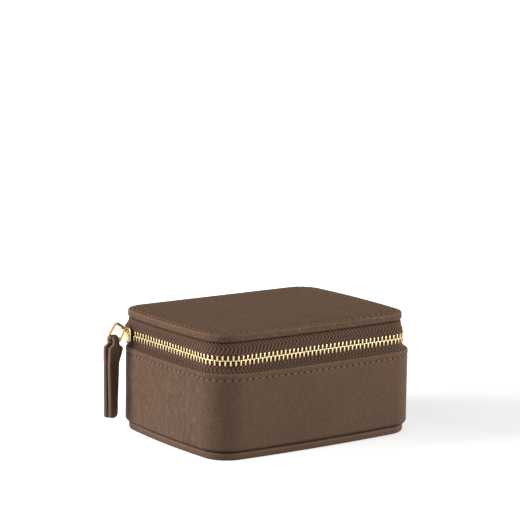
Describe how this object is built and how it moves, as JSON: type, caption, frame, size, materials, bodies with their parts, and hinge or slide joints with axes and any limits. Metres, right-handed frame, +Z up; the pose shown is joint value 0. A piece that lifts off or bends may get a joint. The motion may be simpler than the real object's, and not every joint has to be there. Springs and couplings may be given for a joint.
{
  "type": "jewellery case",
  "caption": "Rounded rectangular leather jewellery case with a zip-around hinged lid, a slider with a ring and leather pull, and a lined inside",
  "frame": {"origin": "middle of the base panel's underside, which the case stands on", "axes": "+Z up, -Y to the front, +X to the right seen from the front; the hinge is along +Y"},
  "size_m": [0.1432, 0.1015, 0.0653],
  "materials": {
    "case_leather": "fine grained taupe brown leather, satin",
    "lid_leather": "fine grained taupe brown leather, satin",
    "hinge_leather": "supple taupe brown leather",
    "pull_leather": "darker brown leather with a painted edge",
    "thread": "twisted polyester thread",
    "board": "pressed greyboard",
    "suede": "sand microsuede",
    "roll_suede": "sand microsuede over foam",
    "pocket_suede": "sand microsuede",
    "zip_tape": "brown herringbone twill tape",
    "zip_metal": "polished pale brass",
    "slider_metal": "polished gold",
    "ring_metal": "polished gold"
  },
  "bodies": {
    "case_body": {"base_leather": "case_leather", "base_board": "board", "body_board": "board", "body_leather": "case_leather", "body_stitching": "thread", "body_lining": "suede", "divider_long": "suede", "divider_cross": "suede", "ring_roll_1": "roll_suede", "ring_roll_2": "roll_suede", "ring_roll_3": "roll_suede", "ring_roll_4": "roll_suede", "ring_roll_5": "roll_suede", "ring_roll_6": "roll_suede", "lower_zip_tape": "zip_tape", "lower_zip_teeth": "zip_metal", "lower_zip_teeth_left": "zip_metal", "lower_zip_stops": "zip_metal", "hinge_leather": "hinge_leather"},
    "lid": {"lid_board": "board", "lid_leather": "lid_leather", "lid_stitching": "thread", "lid_lining": "suede", "lid_pocket": "pocket_suede", "upper_zip_tape": "zip_tape", "upper_zip_teeth": "zip_metal", "upper_zip_teeth_left": "zip_metal", "upper_zip_stops": "zip_metal"},
    "slider": {"zip_slider": "slider_metal", "slider_bridge": "slider_metal"},
    "ring": {"pull_ring": "ring_metal"},
    "pull": {"leather_pull": "pull_leather"}
  },
  "joints": [
    {"name": "lid_hinge", "type": "hinge", "parent": "case_body", "child": "lid", "pos_m": [0, 0.04805, 0.0514], "axis": [-1, 0, 0], "range_deg": [0, 105], "deforming": ["hinge_leather"]},
    {"name": "zip_travel", "type": "slide", "parent": "case_body", "child": "slider", "axis": [0, -1, 0], "range_m": [0, 0.064], "deforming": ["lower_zip_teeth_left", "upper_zip_teeth_left"]},
    {"name": "ring_lift", "type": "hinge", "parent": "slider", "child": "ring", "pos_m": [-0.06665, 0.0391, 0.0543], "axis": [0, 1, 0], "range_deg": [0, 70]},
    {"name": "pull_swing", "type": "hinge", "parent": "ring", "child": "pull", "pos_m": [-0.0714, 0.0391, 0.0483], "axis": [1, 0, 0], "range_deg": [-90, 90]}
  ]
}
